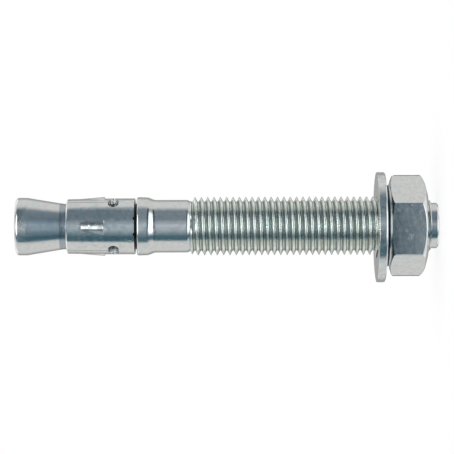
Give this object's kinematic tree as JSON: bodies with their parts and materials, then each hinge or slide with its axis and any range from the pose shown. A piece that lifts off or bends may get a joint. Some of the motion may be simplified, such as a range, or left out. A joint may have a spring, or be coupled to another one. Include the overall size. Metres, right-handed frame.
{
  "type": "wedge anchor",
  "caption": "Zinc-plated steel wedge anchor: a threaded stud with a leading cone, a wrapped expansion clip on its neck, a push collar, a plain washer and a hex nut.",
  "frame": {"origin": "centre of the flat end of the tip that is hammered, on which the anchor stands", "axes": "+Z along the anchor from the hammered tip to the leading cone; -Y towards a flat of the nut and the middle lug of the clip, with the clip's seam at +Y; +X across"},
  "size_m": [0.0302, 0.0302, 0.1155],
  "materials": {
    "plated_stud": "bright blue zinc plate over cold-formed and thread-rolled steel",
    "plated_clip": "bright blue zinc plate over pressed sheet steel, lightly marked by forming",
    "plated_washer": "bright zinc plate over punched steel, with a speckled sheared rim",
    "plated_nut": "bright blue zinc plate over cold-formed steel, mottled on the flats"
  },
  "bodies": {
    "stud": {"stud": "plated_stud"},
    "clip": {"expansion_clip": "plated_clip"},
    "washer": {"washer": "plated_washer"},
    "nut": {"hex_nut": "plated_nut"}
  },
  "joints": [
    {"name": "clip_spin", "type": "hinge", "parent": "stud", "child": "clip", "pos_m": [0, 0, 0.09215], "axis": [0, 0, 1], "continuous": true},
    {"name": "washer_slide", "type": "slide", "parent": "stud", "child": "washer", "axis": [0, 0, 1], "range_m": [-0.0105, 0.0505]},
    {"name": "nut_spin", "type": "hinge", "parent": "washer", "child": "nut", "pos_m": [0, 0, 0.00876], "axis": [0, 0, 1], "range_deg": [-2160, 10440]}
  ],
  "couplings": [
    {"joint": "washer_slide", "follows": "nut_spin", "m_per_rad": 0.00027693}
  ]
}
